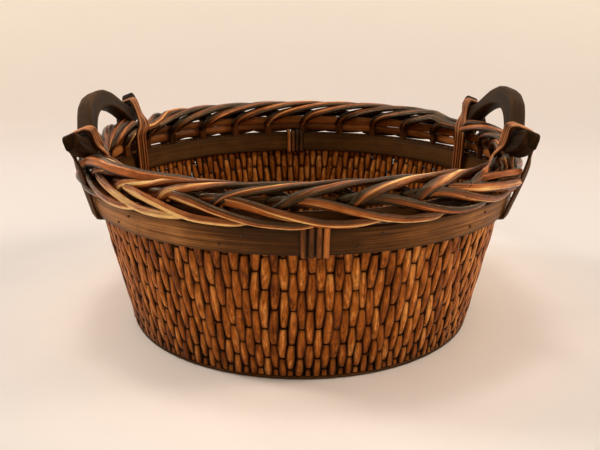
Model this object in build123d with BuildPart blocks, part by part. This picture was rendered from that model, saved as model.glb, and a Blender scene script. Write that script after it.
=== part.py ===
"""Round split-willow basket with hooped bands, a plaited border and two lashed ear handles.

Millimetres, +Z up. The origin is the centre of the foot hoop's underside, +X points to the right handle and
-Y to the front wrap. Every piece is written as its own STEP.
"""
from build123d import *
from math import atan2, cos, degrees, radians, sin, sqrt, tan
import os

os.makedirs("parts", exist_ok=True)

# ---- driving dimensions ----
CLEARANCE = 0.2  # between neighbouring pieces

# Foot and base
FOOT_HEIGHT = 4.0
FOOT_OUTER_RADIUS = 165.5
FOOT_INNER_RADIUS = 157.0
BASE_THICKNESS = 6.0

# Woven wall, measured on its outer face
WALL_BOTTOM_RADIUS = 166.0
WALL_THICKNESS = 6.0
WALL_BAND_STEP = 1.8  # the wall is this much thicker inside the bands
WEFT_HEIGHTS = [10.0, 20.5, 34.0, 49.0, 66.0, 84.0, 100.0, 113.0]
WEFT_RADIUS = 0.9

# Hooped bands that clamp the top of the wall
BAND_BOTTOM = 118.0
BAND_HEIGHT = 22.0
BAND_SLOPE = 0.205  # outward run per millimetre of height, the same as the wall's
BAND_THICKNESS = 4.0
INNER_BAND_THICKNESS = 2.6
INNER_BAND_RISE = 2.0  # how far the inner band's lower edge sits above the outer band's
WALL_TOP_RADIUS = 190.0  # outer face, level with the outer band's lower edge

# Reed wraps that tie the bands' overlapping ends
WRAP_ANGLES = {"front": -87.0, "rear": 92.0}
WRAP_STRANDS = 4
WRAP_PITCH = 5.4
WRAP_WIDTH = 4.9
WRAP_THICKNESS = 1.8

# Pins through the outer band
PIN_HEAD_RADIUS = 1.1
PIN_HEAD_HEIGHT = 0.7
PIN_PAIR_SPREAD = 2.6  # degrees between the two pins of a pair
PIN_COUNT = 12

# Open gallery between the bands and the border
STAKE_COUNT = 28
STAKE_RADIUS = 2.3
STAKE_CIRCLE = 188.6
FITCH_ROD_RADIUS = 2.0
FITCH_LEVELS = {"lower": 147.2, "upper": 152.6}

# Plaited border: an inner and an outer run of overlapping rods
BORDER_GAP = 0.15  # degrees between one rod's bend and the next
BORDER_INNER = {"radius": 188.6, "height": 167.0, "half_width": 6.2, "half_height": 10.0}
BORDER_OUTER = {"radius": 200.6, "height": 159.0, "half_width": 5.4, "half_height": 15.0}

# Ear handles: a flat board on each side, leaning outwards
HANDLE_LEAN = degrees(atan2(0.392, 1.0))
HANDLE_THICKNESS = 13.2
HANDLE_INNER_FACE = 174.6  # distance of the inner face from the axis, at HANDLE_LEVEL
HANDLE_LEVEL = 178.0
HANDLE_EDGE = 1.8  # rounding of the board's long edges
HANDLE_CORNER = 2.5  # rounding of the feet's corners
ARCH_TOP = [(0, 99.4), (40, 92.2), (67, 78), (86, 69.4), (101, 70.6), (115.6, 76)]
ARCH_TIP = (118, 65)
FOOT_UNDERSIDE = [(118, 65), (106, 58.4), (92, 54.4), (71, 53.4)]
GRIP_EDGE = [(71, 53.4), (67.5, 61), (58.5, 70), (37, 80.5), (0, 86.5)]
SEAT_TOP = 165.9  # the border is flattened to this height under the handles' feet
SEAT_HALF_SPAN = (66.0, 124.0)

# Lashings over the handles' feet
LASH_POSITION = 88.0  # distance of each lashing from the handle's middle
LASH_STRANDS = 4
LASH_PITCH = 3.6
LASH_WIDTH = 3.2
LASH_THICKNESS = 2.0

# ---- sizes worked out from those ----
band_top = BAND_BOTTOM + BAND_HEIGHT
wall_bottom = FOOT_HEIGHT + CLEARANCE
band_run = BAND_SLOPE * BAND_HEIGHT
wall_band_radius = WALL_TOP_RADIUS + WALL_BAND_STEP
wall_slope = (WALL_TOP_RADIUS - WALL_BOTTOM_RADIUS) / (BAND_BOTTOM - wall_bottom)
stake_pitch = 360 / STAKE_COUNT
outer_band_inside = wall_band_radius + CLEARANCE
outer_band_outside = outer_band_inside + BAND_THICKNESS
inner_band_outside = WALL_TOP_RADIUS - WALL_THICKNESS - CLEARANCE
inner_band_inside = inner_band_outside - INNER_BAND_THICKNESS
band_tilt = degrees(atan2(BAND_SLOPE, 1.0))


def wall_radius(height):
    """Outer radius of the wall below the bands."""
    return WALL_BOTTOM_RADIUS + wall_slope * (height - wall_bottom)


def save(piece, label):
    """Label a finished piece and write its STEP."""
    piece.part.label = label
    export_step(piece.part, f"parts/{label}.step")


# ---- foot hoop and base ----
with BuildPart() as foot_hoop:
    with BuildSketch(Plane.XY):
        Circle(FOOT_OUTER_RADIUS)
        Circle(FOOT_INNER_RADIUS, mode=Mode.SUBTRACT)
    extrude(amount=FOOT_HEIGHT)
save(foot_hoop, "foot_hoop")

with BuildPart() as base_mat:
    with BuildSketch(Plane.XY.offset(wall_bottom)):
        Circle(WALL_BOTTOM_RADIUS - WALL_THICKNESS - CLEARANCE)
    extrude(amount=BASE_THICKNESS)
save(base_mat, "base_mat")

# ---- woven wall: one open-ended shell, grooved outside where the weft cords lie ----
with BuildPart() as wall_weave:
    with BuildSketch(Plane.XZ):
        with BuildLine():
            Polyline(
                (WALL_BOTTOM_RADIUS, wall_bottom),
                (WALL_TOP_RADIUS, BAND_BOTTOM),
                (wall_band_radius, BAND_BOTTOM),
                (wall_band_radius + band_run, band_top),
                (WALL_TOP_RADIUS - WALL_THICKNESS + band_run, band_top),
                (WALL_TOP_RADIUS - WALL_THICKNESS, BAND_BOTTOM),
                (WALL_BOTTOM_RADIUS - WALL_THICKNESS, wall_bottom),
                close=True,
            )
        make_face()
        for weft_height in WEFT_HEIGHTS:
            with Locations((wall_radius(weft_height), weft_height)):
                Circle(WEFT_RADIUS + CLEARANCE, mode=Mode.SUBTRACT)
    revolve(axis=Axis.Z)
save(wall_weave, "wall_weave")

for row, weft_height in enumerate(WEFT_HEIGHTS, start=1):
    with BuildPart() as weft_cord:
        with BuildSketch(Plane.XZ):
            with Locations((wall_radius(weft_height), weft_height)):
                Circle(WEFT_RADIUS)
        revolve(axis=Axis.Z)
    save(weft_cord, f"weft_cord_{row}")

# ---- hooped bands ----
with BuildPart() as outer_band:
    with BuildSketch(Plane.XZ):
        with BuildLine():
            Polyline(
                (outer_band_inside, BAND_BOTTOM),
                (outer_band_outside, BAND_BOTTOM),
                (outer_band_outside + band_run, band_top),
                (outer_band_inside + band_run, band_top),
                close=True,
            )
        band_section = make_face()
        fillet(band_section.vertices(), radius=0.8)
    revolve(axis=Axis.Z)
save(outer_band, "outer_band")

inner_band_bottom = BAND_BOTTOM + INNER_BAND_RISE
inner_band_start = BAND_SLOPE * INNER_BAND_RISE
with BuildPart() as inner_band:
    with BuildSketch(Plane.XZ):
        with BuildLine():
            Polyline(
                (inner_band_inside + inner_band_start, inner_band_bottom),
                (inner_band_outside + inner_band_start, inner_band_bottom),
                (inner_band_outside + band_run, band_top),
                (inner_band_inside + band_run, band_top),
                close=True,
            )
        inner_section = make_face()
        fillet(inner_section.vertices(), radius=0.6)
    revolve(axis=Axis.Z)
save(inner_band, "inner_band")


# ---- reed wraps: four strands down the outer band and four down the inner band ----
def band_mid_plane(angle, radius, sideways):
    """Plane on a band's face at mid height: x runs sideways, y up the slope and z outwards."""
    outward = Vector(cos(radians(angle)), sin(radians(angle)), 0)
    along = Vector(-sin(radians(angle)), cos(radians(angle)), 0)
    normal = outward * cos(radians(band_tilt)) - Vector(0, 0, 1) * sin(radians(band_tilt))
    middle = radius + BAND_SLOPE * BAND_HEIGHT / 2
    centre = outward * middle + along * sideways + Vector(0, 0, BAND_BOTTOM + BAND_HEIGHT / 2)
    return Plane(origin=centre, x_dir=along, z_dir=normal)


wrap_length = BAND_HEIGHT / cos(radians(band_tilt)) - 0.6
for place, wrap_angle in WRAP_ANGLES.items():
    with BuildPart() as band_wrap:
        for strand in range(WRAP_STRANDS):
            sideways = (strand - (WRAP_STRANDS - 1) / 2) * WRAP_PITCH
            outer_start = outer_band_outside + 2 * CLEARANCE
            with BuildSketch(band_mid_plane(wrap_angle, outer_start, sideways)):
                Rectangle(WRAP_WIDTH, wrap_length)
            extrude(amount=WRAP_THICKNESS)
            inner_start = inner_band_inside - 3 * CLEARANCE
            with BuildSketch(band_mid_plane(wrap_angle, inner_start, sideways)):
                Rectangle(WRAP_WIDTH, wrap_length)
            extrude(amount=-WRAP_THICKNESS)
    save(band_wrap, f"band_wrap_{place}")

# ---- pins: pairs of heads round the outer band, clear of the wraps ----
with BuildPart() as band_pins:
    for pair in range(PIN_COUNT):
        for side in (-1, 1):
            pin_angle = 360 / PIN_COUNT * (pair + 0.5) + side * PIN_PAIR_SPREAD
            pin_rise = side * BAND_HEIGHT / 5
            head_plane = band_mid_plane(pin_angle, outer_band_outside + CLEARANCE, 0)
            with BuildSketch(head_plane):
                with Locations((0, pin_rise)):
                    Circle(PIN_HEAD_RADIUS)
            extrude(amount=PIN_HEAD_HEIGHT)
save(band_pins, "band_pins")

# ---- gallery: upright stakes with two horizontal rods laid against their outer side ----
stake_bottom = band_top + CLEARANCE
stake_top = BORDER_INNER["height"] - BORDER_INNER["half_height"] - CLEARANCE
with BuildPart() as stakes:
    with BuildSketch(Plane.XY.offset(stake_bottom)):
        with PolarLocations(STAKE_CIRCLE, STAKE_COUNT):
            Circle(STAKE_RADIUS)
    extrude(amount=stake_top - stake_bottom)
save(stakes, "stakes")

rod_circle = STAKE_CIRCLE + STAKE_RADIUS + FITCH_ROD_RADIUS + CLEARANCE
for level, rod_height in FITCH_LEVELS.items():
    with BuildPart() as fitching_rod:
        with BuildSketch(Plane.XZ):
            with Locations((rod_circle, rod_height)):
                Circle(FITCH_ROD_RADIUS)
        revolve(axis=Axis.Z)
    save(fitching_rod, f"fitching_rod_{level}")


# ---- plaited border: one bend of rod per stake in each run, flattened under the handles' feet ----
seat_middle = (SEAT_HALF_SPAN[0] + SEAT_HALF_SPAN[1]) / 2
seat_length = SEAT_HALF_SPAN[1] - SEAT_HALF_SPAN[0]
SEAT_DEPTH = 90.0
SEAT_CUT_HEIGHT = 30.0
for run_name, run, first_angle in (("inner", BORDER_INNER, 0.0), ("outer", BORDER_OUTER, stake_pitch / 2)):
    with BuildPart() as border_rods:
        for bend in range(STAKE_COUNT):
            start = radians(first_angle + bend * stake_pitch + BORDER_GAP / 2)
            outward = (cos(start), sin(start), 0)
            backward = (sin(start), -cos(start), 0)
            with BuildSketch(Plane(origin=(0, 0, 0), x_dir=outward, z_dir=backward)):
                with Locations((run["radius"], run["height"])):
                    Ellipse(run["half_width"], run["half_height"])
            revolve(axis=Axis.Z, revolution_arc=stake_pitch - BORDER_GAP)
        with Locations(
            *[
                (side_x * HANDLE_INNER_FACE, side_y * seat_middle, SEAT_TOP + SEAT_CUT_HEIGHT / 2)
                for side_x in (-1, 1)
                for side_y in (-1, 1)
            ]
        ):
            Box(SEAT_DEPTH, seat_length, SEAT_CUT_HEIGHT, mode=Mode.SUBTRACT)
    save(border_rods, f"border_rods_{run_name}")


# ---- ear handles ----
def board_point(across, height):
    """A point of the board's outline: distance from its middle, and distance up its slope."""
    return (across, (height + BAND_BOTTOM - HANDLE_LEVEL) / cos(radians(HANDLE_LEAN)))


def handle_plane(side):
    """The board's inner face: x along the rim, y up the slope and z outwards."""
    outward = Vector(side * cos(radians(HANDLE_LEAN)), 0, -sin(radians(HANDLE_LEAN)))
    return Plane(origin=(side * HANDLE_INNER_FACE, 0, HANDLE_LEVEL), x_dir=(0, side, 0), z_dir=outward)


for side_name, side in (("left", -1), ("right", 1)):
    with BuildPart() as handle:
        with BuildSketch(handle_plane(side)) as handle_outline:
            with BuildLine():
                Spline(*[board_point(*p) for p in ARCH_TOP], tangents=[(1, 0), (1, 0.45)])
                Line(board_point(*ARCH_TOP[-1]), board_point(*ARCH_TIP))
                Spline(*[board_point(*p) for p in FOOT_UNDERSIDE])
                Spline(*[board_point(*p) for p in GRIP_EDGE], tangents=[(-0.25, 1), (-1, 0)])
                Line(board_point(*GRIP_EDGE[-1]), board_point(*ARCH_TOP[0]))
            make_face()
            mirror(about=Plane.YZ)
            outline_corners = [v for v in handle_outline.vertices() if abs(v.X) > FOOT_UNDERSIDE[-1][0] - 1]
            fillet(outline_corners, radius=HANDLE_CORNER)
        extrude(amount=HANDLE_THICKNESS)
        face_edges = handle.faces().filter_by(handle_plane(side)).edges()
        fillet(face_edges, radius=HANDLE_EDGE)
    save(handle, f"handle_{side_name}")


# ---- lashings: each strand runs up inside, over the foot and down outside ----
def ring_x(radius, across):
    """Distance from the Y axis of the point at this radius and this distance along Y."""
    return sqrt(radius**2 - across**2)


lash_run = tan(radians(HANDLE_LEAN))
lash_top = HANDLE_LEVEL + 11.0
board_drop = HANDLE_THICKNESS * sin(radians(HANDLE_LEAN))
board_width = HANDLE_THICKNESS * cos(radians(HANDLE_LEAN))


def lash_path(across):
    """The strand's centre line in its own vertical plane, as distance outwards and height."""
    over_inner_edge = HANDLE_INNER_FACE + lash_run * (lash_top - HANDLE_LEVEL) - 2.6
    over_outer_edge = over_inner_edge + board_width + 5.0
    return [
        (ring_x(178.4, across), BAND_BOTTOM + 1.5),
        (ring_x(180.4, across), 150),
        (ring_x(180.8, across), 169),
        (ring_x(184.2, across), 179),
        (over_inner_edge, lash_top + 1.4),
        (over_outer_edge, lash_top - board_drop + 1.8),
        (ring_x(208.6, across), 158),
        (ring_x(198.8, across), BAND_BOTTOM + 1.5),
    ]


for side_name, side in (("left", -1), ("right", 1)):
    for end_name, end in (("front", -1), ("rear", 1)):
        with BuildPart() as lashing:
            for strand in range(LASH_STRANDS):
                across = LASH_POSITION + (strand - (LASH_STRANDS - 1) / 2) * LASH_PITCH
                strand_plane = Plane(origin=(0, end * across, 0), x_dir=(side, 0, 0), z_dir=(0, -side, 0))
                with BuildSketch(strand_plane):
                    with BuildLine():
                        Polyline(*lash_path(across))
                    trace(line_width=LASH_THICKNESS)
                extrude(amount=LASH_WIDTH / 2, both=True)
        save(lashing, f"lashing_{side_name}_{end_name}")
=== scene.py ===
"""Round split-willow basket with hooped bands, a plaited border and two lashed ear handles.

Lengths are millimetres in the part's own frame until a mesh is made, which is in metres, as the studio is.
Angles grow anticlockwise seen from above, with 0 at +X, the right handle. Tables give them in degrees.
"""

import bpy
import numpy as np
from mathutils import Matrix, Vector


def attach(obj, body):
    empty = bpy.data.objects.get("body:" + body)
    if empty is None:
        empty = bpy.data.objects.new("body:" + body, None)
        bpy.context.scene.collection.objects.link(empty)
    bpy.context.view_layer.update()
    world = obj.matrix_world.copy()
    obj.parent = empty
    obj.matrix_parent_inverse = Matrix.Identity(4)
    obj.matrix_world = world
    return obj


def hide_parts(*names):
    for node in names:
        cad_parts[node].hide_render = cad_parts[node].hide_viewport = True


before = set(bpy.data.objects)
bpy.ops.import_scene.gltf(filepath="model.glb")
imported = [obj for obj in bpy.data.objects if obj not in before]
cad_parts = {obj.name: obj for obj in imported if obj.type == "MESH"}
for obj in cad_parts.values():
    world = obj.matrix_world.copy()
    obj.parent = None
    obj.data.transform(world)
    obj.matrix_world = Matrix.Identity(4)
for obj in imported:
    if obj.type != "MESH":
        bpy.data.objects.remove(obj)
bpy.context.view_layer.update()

MM = 0.001
TURN = 2 * np.pi
GRAIN_APART = 3000.0  # how far along the grain's pattern a strand may start
GRAIN_ASIDE = 900.0  # and how far across it
rng = np.random.default_rng(11)

# ---- sizes shared with the CAD part ----
WALL_BOTTOM = 4.2
WALL_BOTTOM_RADIUS = 166.0
WALL_SLOPE = 24.0 / 113.8  # outwards for each millimetre up
WALL_THICKNESS = 6.0
WEFT_HEIGHTS = (10.0, 20.5, 34.0, 49.0, 66.0, 84.0, 100.0, 113.0)
BAND_BOTTOM = 118.0
BAND_HEIGHT = 22.0
BAND_SLOPE = 0.205  # outwards for each millimetre up
BAND_TOP = BAND_BOTTOM + BAND_HEIGHT
STAKE_COUNT = 28
STAKE_CIRCLE = 188.6
STAKE_PITCH = TURN / STAKE_COUNT
WRAP_FRONT = np.radians(-87.0)
WRAP_REAR = np.radians(92.0)
HANDLE_INNER_FACE = 174.6  # distance of a handle's inner face from the Y axis at the level below
HANDLE_LEVEL = 178.0
HANDLE_RUN = 0.392  # outwards for each millimetre up
SIDES = {"left": -1, "right": 1}  # the handles' sides of the Y axis


# ---- small helpers ----
ROD_SQUARENESS = 2.3  # of the willow rods' and lashing reeds' sections


def unit(vectors):
    """Vectors scaled to length 1."""
    return vectors / np.linalg.norm(vectors, axis=-1, keepdims=True)


def rows_of(x, y, z):
    """Points from their coordinates, any of which may be one value for all."""
    return np.stack(np.broadcast_arrays(x, y, z), axis=-1)


def ring_point(angle, radius, height):
    """Points at these angles, radii and heights."""
    return rows_of(radius * np.cos(angle), radius * np.sin(angle), height)


def smooth_path(controls, per_span):
    """A Catmull-Rom curve through the control rows, with this many points for each span."""
    rows = np.asarray(controls, float)
    rows = np.vstack([2 * rows[0] - rows[1], rows, 2 * rows[-1] - rows[-2]])
    out = []
    for p0, p1, p2, p3 in zip(rows, rows[1:], rows[2:], rows[3:]):
        t = np.linspace(0, 1, per_span, endpoint=False)[:, None]
        out.append(
            0.5 * (2 * p1 + (p2 - p0) * t + (2 * p0 - 5 * p1 + 4 * p2 - p3) * t**2
                   + (3 * p1 - p0 - 3 * p2 + p3) * t**3)
        )
    out.append(rows[-2][None])
    return np.vstack(out)


def degrees_of(vectors):
    """Angles round the axis from -180 to 180."""
    return np.degrees(np.arctan2(vectors[..., 1], vectors[..., 0]))


def rise(value, start, run):
    """0 up to start and 1 from a run past it, straight between."""
    return np.clip((value - start) / run, 0, 1)


def drift(place, amplitude, waves=4):
    """A slow random wander along a place that runs from 0 to 1, the same at both ends."""
    total = np.zeros_like(place)
    for wave in range(1, waves + 1):
        total += rng.normal() * np.sin(TURN * (wave * place + rng.random())) / wave
    return amplitude * total


def rounded_section(count, squareness=2.0):
    """A closed outline from -1 to 1 both ways: an oval, squarer as squareness grows."""
    turn = np.linspace(0, TURN, count, endpoint=False) + TURN / count / 2
    across = np.sign(np.cos(turn)) * np.abs(np.cos(turn)) ** (2 / squareness)
    depth = np.sign(np.sin(turn)) * np.abs(np.sin(turn)) ** (2 / squareness)
    return np.stack([across, depth], axis=1)


RIDGE_DEPTH = 0.15
RIDGE_FLATTENING = 0.2
RIDGE_SPACING = (5, 8)


def ridged_section():
    """An oval outline with a few soft ridges along its outer side, as a willow rod dries."""
    across, depth = rounded_section(18, ROD_SQUARENESS).T
    waves = np.sin(across * rng.uniform(*RIDGE_SPACING) + rng.uniform(0, TURN))
    ridges = RIDGE_DEPTH * waves - RIDGE_FLATTENING * np.abs(across)
    return np.stack([across, np.where(depth > 0, depth * (1 + ridges), depth)], axis=1)


def add_object(name, data):
    """An object in the scene with this mesh, light or camera."""
    made = bpy.data.objects.new(name, data)
    bpy.context.scene.collection.objects.link(made)
    return made


class Bundle:
    """Strands gathered into one mesh. Each point knows its place in the grain, its tone and its painted
    shade.
    """

    def __init__(self):
        self.points = []
        self.faces = []
        self.fibre = []
        self.tone = []
        self.shade = []
        self.count = 0

    def add_rings(self, points, fibre, tone, shade):
        """One strand from its rings of points, all arrays of rings by section points."""
        rings, size = points.shape[:2]
        index = self.count + np.arange(rings * size).reshape(rings, size)
        following = np.roll(index, -1, axis=1)
        quads = np.stack([index[:-1], index[1:], following[1:], following[:-1]], axis=-1)
        self.faces.extend(quads.reshape(-1, 4).tolist())
        self.faces.append(index[0].tolist())
        self.faces.append(index[-1][::-1].tolist())
        self.points.append(points.reshape(-1, 3))
        self.fibre.append(fibre.reshape(-1, 3))
        self.tone.append(np.broadcast_to(tone, (rings, size)).ravel())
        self.shade.append(np.broadcast_to(shade, (rings, size)).ravel())
        self.count += rings * size

    def add(self, centres, outward, half_width, half_depth, section, tone=None, shade_edge=0.0, soot=0.0,
            crest=0.0, outer_shade=0.0, crest_power=2):
        """One strand swept along its centre line, with its section's depth along outward.

        shade_edge paints shade along its long edges, outer_shade on its outer side and soot along its run.
        crest makes its outer side paler than its flanks as a painted highlight, the more narrowly the higher
        crest_power is.
        """
        tangent = unit(np.gradient(centres, axis=0))
        outward = unit(outward - np.sum(outward * tangent, axis=1, keepdims=True) * tangent)
        sideways = np.cross(tangent, outward)
        half_width = np.broadcast_to(half_width, len(centres))
        half_depth = np.broadcast_to(half_depth, len(centres))
        across = half_width[:, None] * section[:, 0]
        depth = half_depth[:, None] * section[:, 1]
        points = centres[:, None] + sideways[:, None] * across[..., None]
        points = points + outward[:, None] * depth[..., None]
        along = np.concatenate([[0], np.cumsum(np.linalg.norm(np.diff(centres, axis=0), axis=1))])
        along = along[:, None] + rng.uniform(0, GRAIN_APART)
        fibre = rows_of(along, across + rng.uniform(0, GRAIN_ASIDE), depth)
        own_tone = rng.random() if tone is None else tone
        # Painted highlight on the crest; painted shade on the long edges, the outer side and along the run
        tone = own_tone + crest * (np.clip(section[:, 1], 0, 1) ** crest_power - 0.5)
        across_shade = np.maximum(shade_edge * np.abs(section[:, 0]) ** 3, outer_shade * (section[:, 1] > 0))
        shade = np.maximum(across_shade, np.broadcast_to(soot, len(centres))[:, None])
        self.add_rings(points, fibre, tone, shade)

    def publish(self, name, material, slot, *nodes, crease=50.0):
        """Make the mesh object that stands for these CAD nodes."""
        mesh = bpy.data.meshes.new(name)
        mesh.from_pydata((np.vstack(self.points) * MM).tolist(), [], self.faces)
        for label, kind, values in (
            ("fibre", "FLOAT_VECTOR", np.vstack(self.fibre)),
            ("tone", "FLOAT", np.concatenate(self.tone)),
            ("shade", "FLOAT", np.concatenate(self.shade)),
        ):
            field = "vector" if kind == "FLOAT_VECTOR" else "value"
            layer = mesh.attributes.new(label, kind, "POINT")
            layer.data.foreach_set(field, values.astype(np.float32).ravel())
        mesh.shade_smooth()
        mesh.set_sharp_from_angle(angle=np.radians(crease))
        mesh.materials.append(material)
        piece = add_object(name, mesh)
        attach(piece, "root")
        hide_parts(*nodes)


def end_taper(count, share, low):
    """Width factors along a strand that narrow to low over this share of its length at each end."""
    place = np.linspace(0, 1, count)
    edge = np.clip(np.minimum(place, 1 - place) / share, 0, 1)
    return low + (1 - low) * np.sqrt(1 - (1 - edge) ** 2)


# ---- materials ----
def linear(colour):
    """A display colour, with channels from 0 to 255, as Blender's linear colour."""
    channels = np.array(colour) / 255
    channels = np.where(channels <= 0.04045, channels / 12.92, ((channels + 0.055) / 1.055) ** 2.4)
    return (*channels.tolist(), 1.0)


class Shader:
    """A node material being put together."""

    def __init__(self, name):
        self.material = bpy.data.materials.new(name)
        self.material.use_nodes = True
        self.tree = self.material.node_tree

    def node(self, kind, inputs=None, **settings):
        """Add a node, set its properties, and set or link its inputs."""
        made = self.tree.nodes.new(kind)
        for key, value in settings.items():
            setattr(made, key, value)
        self.feed(made, inputs or {})
        return made

    def feed(self, node, inputs):
        """Link an output to each of these inputs of a node, or set the input's value."""
        for key, value in inputs.items():
            if isinstance(value, bpy.types.NodeSocket):
                self.tree.links.new(value, node.inputs[key])
            else:
                node.inputs[key].default_value = value

    def finish(self, inputs):
        """Feed the surface and hand over the material."""
        self.feed(self.tree.nodes["Principled BSDF"], inputs)
        return self.material

    def attribute(self, name, output="Fac"):
        return self.node("ShaderNodeAttribute", attribute_name=name).outputs[output]

    def scaled(self, vector, scale):
        return self.node("ShaderNodeMapping", {"Vector": vector, "Scale": scale}).outputs["Vector"]

    def noise(self, vector, scale, detail=4.0, roughness=0.55, distortion=0.0):
        inputs = {"Vector": vector, "Scale": scale, "Detail": detail, "Roughness": roughness,
                  "Distortion": distortion}
        return self.node("ShaderNodeTexNoise", inputs).outputs["Fac"]

    def math(self, operation, first, second):
        return self.node("ShaderNodeMath", {0: first, 1: second}, operation=operation).outputs["Value"]

    def weighted(self, base, *terms):
        """base plus each value times its weight, with the value centred on a half, kept from 0 to 1."""
        total = base
        for value, weight in terms:
            centred = self.math("MULTIPLY", self.math("SUBTRACT", value, 0.5), weight)
            total = self.math("ADD", centred, total)
        return self.math("MINIMUM", self.math("MAXIMUM", total, 0.0), 1.0)

    def ramp(self, value, stops):
        """The colour for this value among stops, which are pairs of a position and a display colour."""
        made = self.node("ShaderNodeValToRGB", {"Fac": value})
        ramp = made.color_ramp
        while len(ramp.elements) < len(stops):
            ramp.elements.new(0.5)
        for element, (position, colour) in zip(ramp.elements, stops):
            element.position = position
            element.color = linear(colour)
        return made.outputs["Color"]

    def mix(self, share, first, second):
        inputs = {"Factor": share, "A": first, "B": second}
        return self.node("ShaderNodeMix", inputs, data_type="RGBA").outputs["Result"]

    def bump(self, height, distance):
        inputs = {"Height": height, "Distance": distance, "Strength": 1.0}
        return self.node("ShaderNodeBump", inputs).outputs["Normal"]

    def span(self, value, low, high, start=0.0, end=1.0):
        """The value's range from start to end stretched to run from low to high."""
        inputs = {"Value": value, "From Min": start, "From Max": end, "To Min": low, "To Max": high}
        return self.node("ShaderNodeMapRange", inputs).outputs["Result"]


WARM_GLOSS = (1.0, 0.68, 0.36, 1.0)
GRIME_FINENESS = 60.0  # of the patches over the whole basket
GRIME_LEVELS = (0.53, 0.74)  # where in its noise grime starts and is full
SPECK_SCALE = (0.11, 0.5, 0.5)  # along and across the grain
SPECK_LEVELS = (0.5, 0.7)
BROAD_SCALE = (0.035, 0.06, 0.06)
RAMP_SPAN = (0.08, 0.92)


def fibre_material(name, colours, shade_and_grime_colour, gloss=(0.35, 0.6), fibre_depth=0.48, weights=(0.6, 0.7, 0.5),
                   fibre_scale=(0.018, 1.1), specular=0.2, dirt=(0.5, 0.35)):
    """Split wood or reed: fine fibres, slow colour changes along the strand, and strands that differ.

    weights are for the strands' tones, the fibres and the broad patches, and dirt is for grime and specks.
    """
    shader = Shader(name)
    grain = shader.attribute("fibre", "Vector")
    tone = shader.attribute("tone")
    shade = shader.attribute("shade")
    along, across = fibre_scale
    tone_weight, fibre_weight, broad_weight = weights
    fine = shader.noise(shader.scaled(grain, (along, across, across)), 1.0, 6.0, 0.6, 0.2)
    coarse = shader.noise(shader.scaled(grain, (along * 0.5, across * 0.35, across * 0.35)), 1.0, 3.0)
    patches = shader.noise(shader.node("ShaderNodeTexCoord").outputs["Object"], GRIME_FINENESS, 6.0, 0.7)
    grime = shader.span(patches, 0.0, dirt[0], *GRIME_LEVELS)
    specks = shader.noise(shader.scaled(grain, SPECK_SCALE), 1.0, 4.0, 0.6)
    specks = shader.span(specks, 0.0, dirt[1], *SPECK_LEVELS)
    grime = shader.math("MAXIMUM", grime, specks)
    broad = shader.noise(shader.scaled(grain, BROAD_SCALE), 1.0, 3.0)
    value = shader.weighted(0.5, (tone, tone_weight), (fine, fibre_weight), (coarse, fibre_weight * 0.7),
                            (broad, broad_weight))
    colour = shader.ramp(value, list(zip(np.linspace(*RAMP_SPAN, len(colours)), colours)))
    # Painted shade from the shade attribute, and the real grime, both darken the colour towards the dark
    # colour given after the ramp's colours
    colour = shader.mix(shader.math("MAXIMUM", shade, grime), colour, linear(shade_and_grime_colour))
    roughness = shader.span(shader.weighted(0.5, (fine, 0.8), (broad, 0.6)), *gloss)
    height = shader.math("ADD", fine, shader.math("MULTIPLY", coarse, 1.5))
    return shader.finish({"Base Color": colour, "Roughness": roughness,
                          "Normal": shader.bump(height, fibre_depth * MM),
                          "Specular IOR Level": specular, "Specular Tint": WARM_GLOSS})


WALL_STRAND = fibre_material(
    "wall_strand", [(50, 16, 1), (121, 58, 14), (178, 98, 32), (238, 158, 80)], (9, 1, 0),
    gloss=(0.28, 0.5), fibre_scale=(0.045, 0.55), specular=0.13, weights=(0.36, 1.05, 0.6),
    dirt=(0.8, 0.75))
WEFT = fibre_material(
    "weft_cord", [(20, 8, 2), (40, 18, 6), (64, 32, 12)], (12, 5, 1), gloss=(0.6, 0.8), specular=0.1)
OUTER_BAND = fibre_material(
    "outer_band_wood", [(40, 20, 3), (72, 40, 12), (126, 78, 34), (182, 124, 70)], (24, 11, 2),
    gloss=(0.36, 0.6), fibre_scale=(0.016, 0.9), weights=(0.62, 0.9, 0.35))
INNER_BAND = fibre_material(
    "inner_band_wood", [(34, 17, 3), (60, 33, 8), (84, 50, 16), (110, 70, 28)], (26, 13, 3),
    gloss=(0.42, 0.65), fibre_scale=(0.014, 0.9), specular=0.15, weights=(0.0, 0.8, 0.5))
BASE_SPLINT = fibre_material(
    "base_splint", [(66, 32, 8), (112, 60, 18), (148, 86, 32), (176, 114, 54)], (30, 14, 4),
    gloss=(0.42, 0.65))
# Its palest stop gives the rods' painted highlights and worn crests
BORDER_ROD = fibre_material(
    "border_rod", [(24, 11, 3), (80, 41, 14), (138, 67, 21), (194, 105, 42), (255, 206, 128)], (12, 5, 1),
    gloss=(0.16, 0.38), fibre_scale=(0.014, 0.7), fibre_depth=0.8, specular=0.5, weights=(0.75, 0.8, 0.6),
    dirt=(0.5, 0.45))
GALLERY_ROD = fibre_material(
    "gallery_rod", [(38, 17, 4), (88, 46, 16), (134, 74, 30), (182, 112, 54)], (22, 10, 3),
    gloss=(0.3, 0.55), fibre_scale=(0.014, 1.0), specular=0.25, weights=(0.7, 0.7, 0.5))
LASHING = fibre_material(
    "lashing_reed", [(46, 20, 6), (100, 50, 20), (146, 80, 38), (204, 134, 80)], (16, 6, 2),
    gloss=(0.26, 0.5), fibre_scale=(0.012, 1.6), specular=0.3, weights=(0.5, 1.0, 0.5))
WRAP_REED = fibre_material(
    "wrap_reed", [(40, 18, 5), (84, 43, 15), (122, 66, 26), (196, 116, 54)], (9, 3, 1), gloss=(0.28, 0.5),
    fibre_scale=(0.05, 0.8), specular=0.3, weights=(0.9, 1.0, 0.5), dirt=(0.7, 0.6))
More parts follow.
